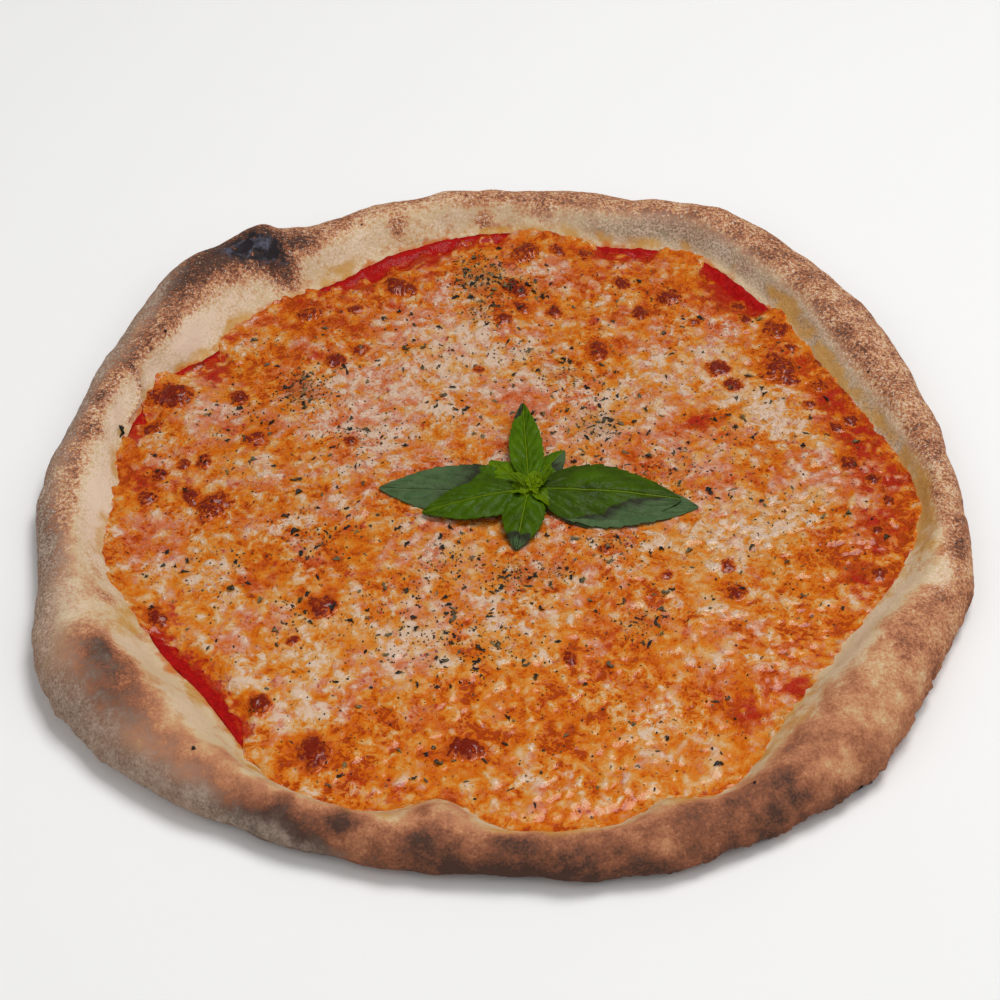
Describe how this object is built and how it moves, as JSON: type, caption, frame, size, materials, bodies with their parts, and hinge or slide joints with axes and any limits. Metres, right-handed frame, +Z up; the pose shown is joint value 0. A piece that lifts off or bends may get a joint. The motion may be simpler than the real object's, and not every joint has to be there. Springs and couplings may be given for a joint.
{
  "type": "margherita pizza",
  "caption": "Whole round margherita pizza with a puffed uneven crust, tomato sauce, melted browned cheese, dried herbs and a fresh basil sprig.",
  "frame": {"origin": "middle of the bounding box at the level of the flat underside", "axes": "+Z up, out of the toppings; +Y from the near side to the far side of the sprig's upright leaf; +X to the right"},
  "size_m": [0.3192, 0.3222, 0.0237],
  "materials": {
    "baked_dough": "matt, floury baked crust, browned in fine specks",
    "tomato_sauce": "wet, glossy cooked tomato",
    "melted_cheese": "melted cheese under orange oil, browned in spots",
    "basil_leaf": "satin fresh leaf"
  },
  "bodies": {
    "root": {"dough": "baked_dough", "tomato_sauce": "tomato_sauce", "melted_cheese": "melted_cheese", "basil_sprig": "basil_leaf"}
  },
  "joints": []
}
